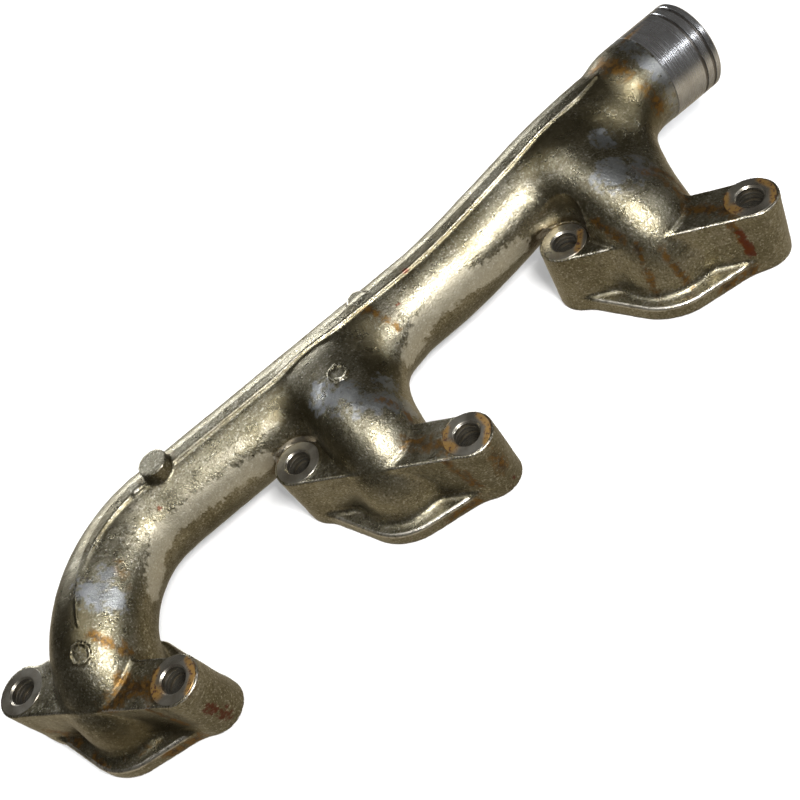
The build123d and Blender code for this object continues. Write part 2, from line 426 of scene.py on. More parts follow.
def slot_outline(x, y, start, end, start_radius, end_radius):
    """Distance in the plane to the hull of two circles."""
    start = np.array(start, float)
    along = np.array(end, float) - start
    length = np.hypot(*along)
    along = along / length
    s = (x - start[0]) * along[0] + (y - start[1]) * along[1]
    across = np.abs((y - start[1]) * along[0] - (x - start[0]) * along[1])
    sine = (start_radius - end_radius) / length
    cosine = math.sqrt(1 - sine * sine)
    on_side = s * cosine - across * sine
    return np.where(
        on_side < 0,
        np.hypot(s, across) - start_radius,
        np.where(
            on_side > length * cosine,
            np.hypot(s - length, across) - end_radius,
            s * sine + across * cosine - start_radius,
        ),
    )


LATTICE_SIZE = 32
LATTICE = np.random.RandomState(SEED).rand(LATTICE_SIZE, LATTICE_SIZE, LATTICE_SIZE)


def value_noise(points, size):
    """Smooth noise from -1 to 1, with lumps of the given size."""
    cell = np.floor(points / size).astype(int)
    t = points / size - cell
    t = t * t * (3 - 2 * t)
    total = np.zeros(len(points))
    for corner in np.ndindex(2, 2, 2):
        index = (cell + corner) % LATTICE_SIZE
        weight = np.prod(np.where(corner, t, 1 - t), axis=1)
        total += weight * LATTICE[index[:, 0], index[:, 1], index[:, 2]]
    return 2 * total - 1


def log_tube(points):
    """The log from the elbow to the spigot; it draws in a little before the collar."""
    straight = bar_x(points, ELBOW_X, RISE_X, LOG_R, LOG_Z)
    rising = tube(points, RISE_PATH, LOG_R)
    outlet = bar_x(points, NECK_X, SPIGOT_X + OVERRUN, LOG_R, OUTLET_Z)
    drawn_in = sum(depth * ramp(points[:, 0], start, end) for start, end, depth in DRAW_IN)
    return np.minimum(np.minimum(straight, rising), outlet) + drawn_in


def collar(points):
    """The thicker end of the neck, where the spigot begins."""
    return bar_x(points, COLLAR_X, SPIGOT_X + OVERRUN, COLLAR_R - COLLAR_INSET, OUTLET_Z)


def elbow_tube(points):
    main = tube(points, ELBOW_PATH, LOG_R)
    return smooth_min(main, tube(points, ELBOW_BELLY, ELBOW_BELLY_R), BLEND["belly"])


def runner_tube(points, port):
    main, belly = RUNNERS[port]
    return smooth_min(tube(points, main, RUNNER_R), tube(points, belly, *BELLY_R), BLEND["belly"])


def pipes(points):
    """Log, elbow and runners, faired into each other."""
    skin = smooth_min(log_tube(points), elbow_tube(points), BLEND["elbow"])
    skin = smooth_min(skin, collar(points), BLEND["collar"])
    for port in RUNNERS:
        skin = smooth_min(skin, runner_tube(points, port), BLEND["runner"])
    return skin


def boss_distance(x, y, z):
    """Distance to the nearer of a flange's two bosses, whose cores sit a little off their holes."""
    height = z / BOSS_TOP_Z
    radius = BOSS_FOOT_R + (BOSS_CROWN_R - BOSS_FOOT_R) * height
    lean_x, lean_y = OUTER_BOSS_LEAN * ACROSS
    shift = OUTER_BOSS_SHIFT - OUTER_BOSS_RETURN * height
    outer = np.hypot(x - BOLT[0] - shift - lean_x * height, y - BOLT[1] - lean_y * height)
    inner = np.hypot(x + BOLT[0], y + BOLT[1] - INNER_BOSS_SHIFT)
    return outer - radius - OUTER_BOSS_EXTRA_R, inner - radius - INNER_BOSS_EXTRA_R


def by_port(x, y):
    """Whether points, measured from a port's centre, are over its flange."""
    return (np.abs(x) < FLANGE_REACH[0]) & (np.abs(y) < FLANGE_REACH[1])


def outline(x, y, slots):
    """Distance in the plane to the nearest of some slots."""
    return np.min([slot_outline(x, y, *slot) for slot in slots], axis=0)


def flange(points, port):
    """Plate, web and bosses of one port, in a window around it."""
    x, y, z = (points - PORTS[port]).T
    near = by_port(x, y) & (z < BOSS_TOP_Z + 15)
    distance = np.full(len(points), FAR)
    if not near.any():
        return distance
    x, y, z = x[near], y[near], z[near]
    bosses = rounded_corner(np.minimum(*boss_distance(x, y, z)), z - BOSS_TOP_Z, BOSS_EDGE)
    web = rounded_corner(outline(x, y, WEBS[port]), z - WEB_TOP_Z, WEB_EDGE)
    plate = rounded_corner(outline(x, y, PLATES[port]), z - PLATE_TOP_Z, PLATE_EDGE)
    upright = np.minimum(bosses, smooth_min(bosses, web, BLEND["web"]))
    distance[near] = smooth_min(upright, plate, BLEND["plate"])
    return distance


def fin(points, skin):
    """The parting line's ridge, where a runner's outlet side meets the top of its web."""
    x, y, z = points.T
    ridge = np.hypot(skin - FIN_LIFT, z - WEB_TOP_Z - FIN_LIFT) - FIN_R
    distance = np.full(len(points), FAR)
    radius = WEB_R - FIN_INSET
    for port in PORTS:
        px, py = x - port[0], y - port[1]
        away = np.abs([px - FIN_MIDDLE_X, py, z - WEB_TOP_Z])
        near = (away.T < FIN_REACH).all(1)
        web = slot_outline(px[near], py[near], -BOLT, BOLT, radius, radius)
        distance[near] = np.maximum(np.maximum(ridge[near], web), FIN_START_X - px[near])
    return distance


def rib_top(off, skin):
    """Distance above a rib's top, which is flat across where the pipe under it is round."""
    return skin - RIB_H - np.minimum(off, RIB_FLAT) ** 2 / (2 * LOG_R)


def log_rib(points, skin):
    """The flat rib along the log, narrowing to a blunt tip."""
    x, y, z = points.T
    half = RIB_HALF * np.clip((RIB_TIP_X - x) / RIB_TAPER, 0, 1)
    off = np.abs(y - LOG_Y)
    band = np.maximum(off - half, np.maximum(ELBOW_X - x, x - RIB_TIP_X + RIB_CUT))
    return np.maximum(rounded_corner(band, rib_top(off, skin), RIB_EDGE), RIB_FLOOR_Z - z)


def elbow_rib(points, skin):
    """The same rib round the elbow, narrowing towards its port."""
    x, y, z = points.T
    distance = np.full(len(points), FAR)
    near = (x < ELBOW_X + 6) & (x > PORTS[0][0] + 2) & (y > 1) & (z > ELBOW_RIB_FLOOR_Z)
    if near.any():
        path = [(*corner, 0) for corner in ELBOW_RIB_PATH]
        at, off = nearest_on_curve(points[near] * (1, 1, 0), path)
        half = RIB_HALF * np.clip((1 - at) / ELBOW_RIB_TAPER, 0, 1) ** ELBOW_RIB_POWER
        distance[near] = rounded_corner(off - half, rib_top(off, skin[near]), RIB_EDGE)
    return distance


def post(points, x, y, radius, top, edge):
    """An upright round boss that stands on the log."""
    px, py, pz = points.T
    return np.maximum(rounded_corner(np.hypot(px - x, py - y) - radius, pz - top, edge), LOG_Z - pz)


def stud_boss(points, skin):
    return post(points, STUD[0], STUD[1], STUD_R, STUD_HIGH[2], STUD_EDGE)


def rib_pad(points, skin):
    x = (PAD_LOW[0] + PAD_HIGH[0]) / 2
    radius = (PAD_HIGH[0] - PAD_LOW[0]) / 2
    return post(points, x, PAD_Y, radius, PAD_HIGH[2], PAD_EDGE)


def roundel(points, skin, name):
    """A thin blank disc that follows the skin under it, with a raised rim."""
    low, high = node_box(name)
    centre = (low + high) / 2
    normal = np.array(ROUNDELS[name]) / np.linalg.norm(ROUNDELS[name])
    away = points - centre
    height = away @ normal
    across = np.sqrt(np.maximum((away * away).sum(1) - height * height, 0))
    rim = ramp(across, ROUNDEL_R - RIM_INSIDE, ROUNDEL_R - RIM_OUTSIDE)
    rise = ROUNDEL_RISE + RIM_RISE * rim
    disc = rounded_corner(across - ROUNDEL_R, skin - rise, ROUNDEL_EDGE)
    return np.maximum(disc, np.abs(height) - ROUNDEL_REACH)


# Each detail's shape, made from the points and the pipes' skin, and how softly it flows into it
DETAILS = {
    "log_rib": (log_rib, 1.6),
    "elbow_rib": (elbow_rib, 1.6),
    "stud_boss": (stud_boss, 1.5),
    "rib_pad": (rib_pad, 1.5),
    "elbow_roundel": (lambda p, s: roundel(p, s, "elbow_roundel"), 0.3),
    "runner_roundel": (lambda p, s: roundel(p, s, "runner_roundel"), 0.3),
}


def gas_way(points):
    """The passage inside, open at the ports and at the outlet."""
    x, y, z = points.T
    way = bar_x(points, ELBOW_X, RISE_X, LOG_BORE_R, LOG_Z)
    way = np.minimum(way, tube(points, RISE_PATH, LOG_BORE_R))
    way = np.minimum(way, bar_x(points, NECK_X, SPIGOT_X + BORE_OVERRUN, LOG_BORE_R, OUTLET_Z))
    way = np.minimum(way, tube(points, ELBOW_PATH, BORE_R))
    for core in CORES.values():
        way = smooth_min(way, tube(points, core, BORE_R), BLEND["core"])
    for port in PORTS:
        mouth = np.hypot(x - port[0], y - port[1]) - BORE_R
        way = np.minimum(way, np.maximum(mouth, z - PORT_MOUTH_Z))
    return way


def casting_skin(points):
    """Distance to the outside of the casting, before it is machined."""
    skin = pipes(points)
    flanges = np.min([flange(points, port) for port in range(len(PORTS))], axis=0)
    x, y, z = points.T
    height = np.clip((z - FILLET_FOOT_Z) / (FILLET_TOP_Z - FILLET_FOOT_Z), 0, 1)
    centre = PORTS[0][:2] + ELBOW_FILLET_PLACE
    away = ((x - centre[0]) ** 2 + (y - centre[1]) ** 2) / ELBOW_FILLET_SPREAD**2
    fillet = FOOT_FILLET - (FOOT_FILLET - CROWN_FILLET) * height + ELBOW_FILLET * np.exp(-away)
    shape = smooth_min(skin, flanges, fillet)
    shape = smooth_min(shape, fin(points, skin), BLEND["fin"])
    for make, blend in DETAILS.values():
        shape = smooth_min(shape, make(points, skin), blend)
    return shape


def casting_shape(points):
    """Distance to the finished casting."""
    x, y, z = points.T
    shape = casting_skin(points)
    near = np.abs(shape) < LUMP_REACH
    lumps = 0
    for number, (height, size) in enumerate(LUMPS):
        lumps = lumps + height * value_noise(points[near] + LUMP_SHIFT * number, size)
    by_rib = np.exp(-(((y[near] - LOG_Y) / RIB_CALM_SPREAD) ** 2)) * (z[near] > LOG_Z)
    shape[near] += lumps * (1 - RIB_CALM * by_rib)
    for port in PORTS:
        for side in (-1, 1):
            across = np.hypot(x - port[0] - side * BOLT[0], y - port[1] - side * BOLT[1])
            floor = BOSS_TOP_Z - FLOOR_CLEARANCE - z
            cutter = smooth_max(across - CUTTER_R, floor, CUTTER_EDGE)
            shape = smooth_max(shape, -cutter, BLEND["cutter"])
            shape = np.maximum(shape, CAST_HOLE_R - across)
    shape = smooth_max(shape, -gas_way(points), BLEND["bore"])
    shape = smooth_max(shape, x - SPIGOT_X, BLEND["end"])
    return smooth_max(shape, FLOOR_CLEARANCE - z, BLEND["end"])


# Region of each CAD node inside the casting

PIPE_NODES = ["end_elbow", "port_2_runner", "port_3_runner", "log_pipe_rear", "log_pipe_front"]
NODES = PIPE_NODES + ["outlet_neck"]
for port_number in (1, 2, 3):
    NODES += [f"port_{port_number}_{part}" for part in ("flange_plate", "web")]
    NODES += [f"port_{port_number}_bolt_boss_{side}" for side in ("inner", "outer")]
NODES += list(DETAILS)


# How far from the pipes' skin a web or a boss begins, how much wider than their outlines webs,
# bosses and details are claimed, how far round its port a plate reaches, and how much nearer than
# the log a runner has to be
CLEAR_OF_SKIN = 0.3
WEB_CLAIM = 3.0
BOSS_CLAIM = 0.8
DETAIL_CLAIM = 0.25
PLATE_REACH = 48.0
RUNNER_HANDICAP = 2.0


def node_labels(points):
    """Which CAD node each solid point belongs to, as an index into NODES, from 1."""
    x, y, z = points.T
    log = log_tube(points)
    candidates = [elbow_tube(points)]
    candidates += [runner_tube(points, port) + RUNNER_HANDICAP for port in RUNNERS]
    candidates += [np.where(x < SPLIT_X, log, OUTSIDE), np.where(x >= SPLIT_X, log, OUTSIDE)]
    label = np.argmin(candidates, axis=0) + 1
    label[x > NECK_X] = NODES.index("outlet_neck") + 1
    skin = pipes(points)
    clear = skin > CLEAR_OF_SKIN
    web_r = WEB_R + WEB_CLAIM
    for number, port in enumerate(PORTS, start=1):
        px, py, pz = (points - port).T
        window = by_port(px, py) & (z < BOSS_TOP_Z + 1)
        name = f"port_{number}_"
        web = slot_outline(px, py, -BOLT, BOLT, web_r, web_r) < 0
        label[window & web & clear] = NODES.index(name + "web") + 1
        plate = (np.hypot(px, py) < PLATE_REACH) & (z < PLATE_TOP_Z)
        label[window & plate] = NODES.index(name + "flange_plate") + 1
        for side, distance in zip(("outer", "inner"), boss_distance(px, py, pz)):
            inside = window & (distance < BOSS_CLAIM) & clear
            label[inside] = NODES.index(f"{name}bolt_boss_{side}") + 1
    for name, (make, _) in DETAILS.items():
        inside = (skin > -DETAIL_ROOT) & (make(points, skin) < DETAIL_CLAIM)
        label[inside] = NODES.index(name) + 1
    return label


def without_strays(labels):
    """The same labels, with points that have no like neighbours given to the node around them."""
    for _ in range(2):
        around = np.stack([np.roll(labels, way, axis) for axis in range(3) for way in (-1, 1)])
        stray = (labels > 0) & ((around == labels).sum(0) < 2)
        other = np.where(around != labels, around, 0).max(0)
        labels = np.where(stray & (other > 0), other, labels)
    return labels


# Meshing

FINE_STEP = 1.0
CHUNK = 300000


def sample_grid(step, block=3):
    """The shape on a grid, exact near the surface and rough elsewhere."""
    low = millimetres(CAD_BOX[0]) - 2 * step
    high = millimetres(CAD_BOX[1]) + 2 * step
    high[0] = SPIGOT_X + 3 * step
    blocks = np.ceil((high - low) / (step * block)).astype(int)
    axes = [low[i] + step * (block * np.arange(blocks[i]) + (block - 1) / 2) for i in range(3)]
    centres = np.stack(np.meshgrid(*axes, indexing="ij"), -1).reshape(-1, 3)
    rough = casting_shape(centres)
    grid = rough.reshape(blocks).astype(np.float32)
    for axis in range(3):
        grid = np.repeat(grid, block, axis)
    near = np.abs(rough) < step * block * 1.1 + 1.0
    corners = np.stack(np.unravel_index(np.where(near)[0], blocks), 1) * block
    offsets = np.stack(np.meshgrid(*[np.arange(block)] * 3, indexing="ij"), -1).reshape(-1, 3)
    index = (corners[:, None, :] + offsets[None]).reshape(-1, 3)
    for chunk in np.array_split(index, max(1, len(index) // CHUNK)):
        grid[tuple(chunk.T)] = casting_shape(low + chunk * step)
    return grid, low


def gradient(points, reach):
    """Direction in which the shape's distance grows."""
    result = np.empty_like(points)
    for axis in range(3):
        offset = np.zeros(3)
        offset[axis] = reach
        result[:, axis] = casting_shape(points + offset) - casting_shape(points - offset)
    return result / (2 * reach)


def surface_nets(grid, labels, low, step):
    """Shared vertices, which of them lie on the skin, and the quads of each label."""
    cells = np.array(grid.shape) - 1
    strides = np.array([cells[1] * cells[2], cells[2], 1])
    sums = {kind: np.zeros((cells.prod(), 4)) for kind in ("skin", "inner")}
    quads = []
    for axis in range(3):
        first = np.take(labels, range(labels.shape[axis] - 1), axis)
        second = np.take(labels, range(1, labels.shape[axis]), axis)
        node = np.stack(np.where(first != second), 1)
        u, v = (axis + 1) % 3, (axis + 2) % 3
        inside = (node[:, u] > 0) & (node[:, v] > 0)
        inside &= (node[:, u] < cells[u]) & (node[:, v] < cells[v])
        node = node[inside]
        beyond = node.copy()
        beyond[:, axis] += 1
        label_a, label_b = labels[tuple(node.T)], labels[tuple(beyond.T)]
        value_a, value_b = grid[tuple(node.T)], grid[tuple(beyond.T)]
        on_skin = (label_a == 0) | (label_b == 0)
        share = np.where(on_skin, value_a / (value_a - value_b + 1e-12), 0.5)
        crossing = node.astype(float)
        crossing[:, axis] += np.clip(share, 0, 1)
        around = []
        for du, dv in ((-1, -1), (0, -1), (0, 0), (-1, 0)):
            cell = node.copy()
            cell[:, u] += du
            cell[:, v] += dv
            around.append(cell @ strides)
        for kind, mask in (("skin", on_skin), ("inner", ~on_skin)):
            index = np.concatenate([cell[mask] for cell in around])
            for column in range(3):
                weights = np.tile(crossing[mask, column], 4)
                sums[kind][:, column] += np.bincount(index, weights, len(sums[kind]))
            sums[kind][:, 3] += np.bincount(index, minlength=len(sums[kind]))
        quads.append((np.stack(around, 1), label_a, label_b))
    used = np.where(sums["skin"][:, 3] + sums["inner"][:, 3] > 0)[0]
    skin, inner = sums["skin"][used], sums["inner"][used]
    on_skin = skin[:, 3] > 0
    chosen = np.where(on_skin[:, None], skin, inner)
    vertices = low + step * chosen[:, :3] / chosen[:, 3:]
    renumber = np.full(len(sums["skin"]), -1)
    renumber[used] = np.arange(len(used))
    faces = {}
    for quad, label_a, label_b in quads:
        quad = renumber[quad]
        for label, side, turned in ((label_a, 1, quad), (label_b, -1, quad[:, ::-1])):
            for value in np.unique(label[label > 0]):
                faces.setdefault(value, []).append(turned[label == value])
    return vertices, on_skin, {value: np.concatenate(parts) for value, parts in faces.items()}


def settle(vertices, step):
    """Skin vertices moved onto the exact surface, and their normals."""
    for _ in range(2):
        slope = gradient(vertices, 0.2)
        steep = np.maximum((slope * slope).sum(1), 0.2)
        move = (casting_shape(vertices) / steep)[:, None] * slope
        length = np.linalg.norm(move, axis=1, keepdims=True)
        vertices = vertices - move * np.minimum(1, 0.7 * step / np.maximum(length, 1e-9))
    normals = gradient(vertices, 0.3)
    return vertices, normals / np.linalg.norm(normals, axis=1, keepdims=True)


def make_mesh(name, vertices, faces, normals=None, attributes=None):
    """A smooth mesh object from millimetre vertices and lists of their numbers."""
    mesh = bpy.data.meshes.new(name)
    mesh.from_pydata((vertices * MM).tolist(), [], faces)
    mesh.update()
    mesh.polygons.foreach_set("use_smooth", np.ones(len(mesh.polygons), bool))
    for key, values in (attributes or {}).items():
        layer = mesh.attributes.new(key, "FLOAT", "POINT")
        layer.data.foreach_set("value", values.astype(np.float32))
    if normals is not None:
        mesh.normals_split_custom_set_from_vertices(normals.tolist())
    piece = bpy.data.objects.new(name, mesh)
    bpy.context.scene.collection.objects.link(piece)
    return piece


def casting_mesh(step):
    """Vertices, normals and shape masks of the casting, and the quads of each label."""
    grid, low = sample_grid(step)
    labels = np.zeros(grid.shape, np.int16)
    solid = np.stack(np.where(grid < 0), 1)
    labels[tuple(solid.T)] = node_labels(low + solid * step)
    labels = without_strays(labels)
    vertices, on_skin, faces = surface_nets(grid, labels, low, step)
    normals = np.tile((0.0, 0.0, 1.0), (len(vertices), 1))
    vertices[on_skin], normals[on_skin] = settle(vertices[on_skin], step)
    vertices[:, 2] = np.maximum(vertices[:, 2], 0)
    return vertices, normals, shape_masks(vertices, normals, on_skin), faces


def build_casting(material):
    """One closed piece per CAD node of the casting."""
    vertices, normals, masks, faces = casting_mesh(FINE_STEP)
    masks.update(stain_masks(vertices))
    for label, quads in sorted(faces.items()):
        name = NODES[label - 1]
        used, compact = np.unique(quads, return_inverse=True)
        own_quads = compact.reshape(quads.shape).tolist()
        attributes = {key: values[used] for key, values in masks.items()}
        piece = make_mesh("cast_" + name, vertices[used], own_quads, normals[used], attributes)
        piece.data.materials.append(material)
        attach(piece, CASTING)
        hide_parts(name)


# How far off the skin hollows and edges are felt for, and how far out of the gas way soot comes
HOLLOW_REACH = 7.0
EDGE_REACH = 1.5
SOOT_REACH = 1.2


def shape_masks(vertices, normals, on_skin):
    """Where the skin is hollow, an edge or inside, from 0 to 1 at each vertex."""
    masks = {key: np.zeros(len(vertices)) for key in ("hollow", "edge", "inside")}
    points, normal = vertices[on_skin], normals[on_skin]
    open_space = casting_shape(points + HOLLOW_REACH * normal) / HOLLOW_REACH
    tangent = np.cross(normal, (0.36, 0.48, 0.8))
    tangent /= np.linalg.norm(tangent, axis=1, keepdims=True)
    curve = -casting_shape(points + EDGE_REACH * normal) - casting_shape(points - EDGE_REACH * normal)
    for direction in (tangent, np.cross(normal, tangent)):
        for sign in (-1, 1):
            curve = curve + casting_shape(points + sign * EDGE_REACH * direction) / 2
    # The hollow mask paints shade into the skin's hollows; the edge mask lightens rounded edges,
    # partly as wear and partly as a painted highlight
    masks["hollow"][on_skin] = np.clip(1 - open_space, 0, 1)
    masks["edge"][on_skin] = np.clip(0.5 + curve, 0, 1)
    masks["inside"][on_skin] = np.clip(SOOT_REACH - gas_way(points), 0, 1)
    return masks


def stroke(points, path, radius):
    """1 on a line through the path's points, fading to 0 at its radius."""
    path = np.array(path, float)
    result = np.zeros(len(points))
    near = ((points > path.min(0) - radius) & (points < path.max(0) + radius)).all(1)
    close = points[near]
    best = np.full(len(close), radius**2)
    for start, end in zip(path, path[1:] if len(path) > 1 else path):
        along = end - start
        t = np.clip((close - start) @ along / max(along @ along, 1e-9), 0, 1)
        best = np.minimum(best, ((close - start - t[:, None] * along) ** 2).sum(1))
    result[near] = 1 - np.sqrt(best) / radius
    return result


def stain_masks(points):
    """Strength of each kind of stain, from 0 to 1 at each point."""
    masks = {}
    for kind, strokes in STAINS.items():
        masks[kind] = np.zeros(len(points))
        for number, port in enumerate(PORTS):
            own = strokes.get(number, []) + (PORT_RUST if kind == "rust" else [])
            for radius, path in own:
                masks[kind] = np.maximum(masks[kind], stroke(points - port, path, radius))
    return masks


# Materials

OLIVE = (0.25, 0.230, 0.163)
DARK_OLIVE = (0.165, 0.149, 0.096)
DULL_GREY = (0.33, 0.31, 0.26)
UMBER = (0.12, 0.10, 0.06)
PORE = (0.06, 0.047, 0.024)
SPARKLE = (0.62, 0.60, 0.52)
# A dark oily film, which also serves as painted shade
OIL_AND_SHADE = (0.10, 0.084, 0.045)
BLUE_GREY = (0.38, 0.41, 0.45)
# Painted shade for hollows and creases, a near-black brown
CREASE_SHADE = (0.09, 0.058, 0.02)
RUST_DARK = (0.045, 0.020, 0.004)
RUST_LIGHT = (0.165, 0.085, 0.016)
RED_PAINT = (0.11, 0.016, 0.007)
SCRAPE = (0.48, 0.44, 0.34)
# Bare metal on worn edges, and a painted highlight along them
BARE_EDGE_AND_GLINT = (0.70, 0.67, 0.60)
SOOT = (0.08, 0.06, 0.045)
PIT = (0.05, 0.035, 0.025)
FRESH_RUST = (0.42, 0.23, 0.045)
OLD_RUST = (0.10, 0.03, 0.008)


class Shader:
    """A small helper that builds the nodes of a material or a world from left to right."""

    def __init__(self, owner, surface="Principled BSDF", place="Object"):
        owner.use_nodes = True
        self.owner = owner
        self.tree = owner.node_tree
        self.surface = self.tree.nodes[surface]
        self.place = self.node("ShaderNodeTexCoord").outputs[place]

    def node(self, kind, inputs=None, **settings):
        node = self.tree.nodes.new(kind)
        for key, value in settings.items():
            setattr(node, key, value)
        for key, value in (inputs or {}).items():
            self.set(node.inputs[key], value)
        return node

    def set(self, socket, value):
        if isinstance(value, bpy.types.NodeSocket):
            self.tree.links.new(value, socket)
        elif isinstance(value, tuple) and len(value) == 3 and socket.type == "RGBA":
            socket.default_value = (*value, 1)
        else:
            socket.default_value = value

    def noise(self, size, detail=3.0, roughness=0.55, stretch=None):
        """Noise from 0 to 1 with lumps of about the given size in millimetres."""
        vector = self.place
        if stretch:
            vector = self.node("ShaderNodeMapping", {"Vector": vector, "Scale": stretch}).outputs[0]
        inputs = {"Vector": vector, "Scale": 1 / (size * MM), "Detail": detail}
        inputs["Roughness"] = roughness
        return self.node("ShaderNodeTexNoise", inputs).outputs["Fac"]

    def attribute(self, name):
        return self.node("ShaderNodeAttribute", attribute_name=name).outputs["Fac"]

    def math(self, operation, a, b=0.0, c=0.0):
        node = self.node("ShaderNodeMath", {0: a, 1: b, 2: c}, operation=operation)
        return node.outputs[0]

    def span(self, value, low, high, to_low=0.0, to_high=1.0, kind="SMOOTHSTEP"):
        """Maps low..high to to_low..to_high, clamped."""
        inputs = {"Value": value, "From Min": low, "From Max": high}
        inputs.update({"To Min": to_low, "To Max": to_high})
        return self.node("ShaderNodeMapRange", inputs, interpolation_type=kind).outputs["Result"]

    def mix(self, share, a, b):
        node = self.node("ShaderNodeMix", data_type="RGBA")
        self.set(node.inputs["Factor"], share)
        self.set(node.inputs["A"], a)
        self.set(node.inputs["B"], b)
        return node.outputs["Result"]

    def bump(self, height, distance, strength=1.0, under=None):
        inputs = {"Height": height, "Distance": distance * MM, "Strength": strength}
        if under is not None:
            inputs["Normal"] = under
        return self.node("ShaderNodeBump", inputs).outputs["Normal"]

    def finish(self, **sockets):
        for name, value in sockets.items():
            self.set(self.surface.inputs[name.replace("_", " ")], value)
        return self.owner


def cast_iron_material():
    """Oily sand-cast iron: olive brown, blotched with grey and rust, with painted shade in its hollows
    and under a dark film, and painted highlights on its worn edges.
    """
    s = Shader(bpy.data.materials.new("cast_iron_skin"))
    hollow, edge = s.attribute("hollow"), s.attribute("edge")
    broad = s.noise(26, 4)
    medium = s.noise(7, 5, 0.6)
    small = s.noise(2.6, 4, 0.6)
    grain = s.noise(1.0, 3, 0.6)
    fine = s.noise(0.5, 2, 0.5)

    ragged = s.math("ADD", s.span(small, 0.36, 0.64, -0.3, 0.3), s.span(medium, 0.36, 0.64, -0.3, 0.3))

    def stained(name, low, high, spread):
        """A stain's mask with its border broken up by noise."""
        mask = s.attribute(name)
        uneven = s.math("MULTIPLY_ADD", ragged, spread, mask)
        return s.math("MULTIPLY", s.span(mask, 0.0, 0.15), s.span(uneven, low, high))

    rusty = stained("rust", 0.0, 1.0, 0.75)
    red = stained("red", 0.2, 0.7, 1.2)
    patch = stained("patch", 0.1, 0.8, 1.0)
    scraped = stained("smear", 0.16, 0.42, 0.5)
    # Dark film: partly oil, partly painted shade
    oily_and_shaded = stained("oil_film_and_shade", 0.0, 0.7, 0.6)

    colour = s.mix(s.span(broad, 0.38, 0.62), OLIVE, DARK_OLIVE)
    colour = s.mix(s.span(medium, 0.45, 0.75, 0, 0.4), colour, DULL_GREY)
    colour = s.mix(s.span(small, 0.53, 0.70, 0, 0.45), colour, UMBER)
    colour = s.mix(s.span(grain, 0.5, 0.72, 0, 0.7), colour, PORE)
    colour = s.mix(s.span(grain, 0.46, 0.3, 0, 0.6), colour, SPARKLE)
    # Painted shade: hollows and creases darkened where shade falls
    crease_shade = s.math("MULTIPLY", s.span(hollow, 0.25, 0.8), s.span(small, 0.2, 0.5))
    # Rounded edges lightened: partly bare worn metal, partly a painted highlight
    worn_and_highlit = s.math("MULTIPLY", s.span(edge, 0.72, 1.0), s.span(small, 0.3, 0.5))
    rust_colour = s.mix(s.span(small, 0.4, 0.6), RUST_DARK, RUST_LIGHT)
    for mask, cover, coat in (
        (oily_and_shaded, 0.8, OIL_AND_SHADE),
        (patch, 0.6, BLUE_GREY),
        (crease_shade, 0.55, CREASE_SHADE),
        (rusty, 0.92, rust_colour),
        (red, 0.75, RED_PAINT),
        (scraped, 0.5, SCRAPE),
        (worn_and_highlit, 0.7, BARE_EDGE_AND_GLINT),
    ):
        colour = s.mix(s.math("MULTIPLY", mask, cover), colour, coat)
    colour = s.mix(s.attribute("inside"), colour, SOOT)

    metal = s.math("MULTIPLY_ADD", rusty, -0.05, 0.97)
    metal = s.math("MULTIPLY_ADD", scraped, -0.2, metal)
    rough = s.span(medium, 0.3, 0.7, 0.26, 0.35)
    rough = s.math("MULTIPLY_ADD", rusty, 0.05, rough)
    rough = s.math("MULTIPLY_ADD", scraped, 0.15, rough)
    normal = s.bump(small, 0.5, 0.10)
    normal = s.bump(grain, 0.35, 0.45, normal)
    normal = s.bump(fine, 0.15, 0.4, normal)
    return s.finish(Base_Color=colour, Metallic=metal, Roughness=rough, Normal=normal)


def turned_material(name, axis, light, dark, smooth=0.24):
    """Machined iron with fine rings around an axis (0 for X, 2 for Z), pitted and rusty."""
    s = Shader(bpy.data.materials.new(name))
    stretch = tuple(1.0 if i == axis else 0.04 for i in range(3))
    rings = s.noise(0.45, 2, 0.5, stretch)
    blotches = s.noise(6, 4, 0.6)
    small = s.noise(1.8, 4, 0.6)
    pits = s.span(s.noise(0.8, 2), 0.66, 0.74)
    ragged = s.math("ADD", s.attribute("rust"), s.math("MULTIPLY_ADD", small, 0.9, -0.45))
    rusty = s.math("MULTIPLY", s.span(s.attribute("rust"), 0.0, 0.15), s.span(ragged, 0.1, 0.8))
    colour = s.mix(s.span(blotches, 0.3, 0.7), light, dark)
    colour = s.mix(s.math("MULTIPLY", pits, 0.8), colour, PIT)
    rust_colour = s.mix(s.span(small, 0.5, 0.62), FRESH_RUST, OLD_RUST)
    colour = s.mix(s.math("MULTIPLY", rusty, 0.85), colour, rust_colour)
    metal = s.math("MULTIPLY_ADD", rusty, -0.1, 0.95)
    rough = s.math("MULTIPLY_ADD", rusty, 0.1, s.span(rings, 0.3, 0.7, smooth, smooth + 0.12))
    normal = s.bump(rings, 0.08, 0.6)
    return s.finish(Base_Color=colour, Metallic=metal, Roughness=rough, Normal=normal)


# Lathed pieces


def lathe(name, profile, origin, axis, material, steps=128):
    """A closed ring from a loop of (radius, height) points turned about an axis through origin."""
    angles = np.linspace(0, 2 * math.pi, steps, endpoint=False)
    turn = np.array(Vector(axis).to_track_quat("Z", "Y").to_matrix())
    radius, height = np.array(profile, float).T
    ring = np.stack(
        [
            np.outer(np.cos(angles), radius),
            np.outer(np.sin(angles), radius),
            np.tile(height, (steps, 1)),
        ],
        -1,
    ).reshape(-1, 3)
    a = np.arange(len(ring)).reshape(steps, -1)
    b = np.roll(a, -1, 0)
    quads = np.stack([a, b, np.roll(b, -1, 1), np.roll(a, -1, 1)], -1).reshape(-1, 4).tolist()
    vertices = ring @ turn.T + origin
    piece = make_mesh(name, vertices, quads, attributes={"rust": stain_masks(vertices)["rust"]})
    piece.data.materials.append(material)
    piece.data.set_sharp_from_angle(angle=math.radians(35))
    return piece


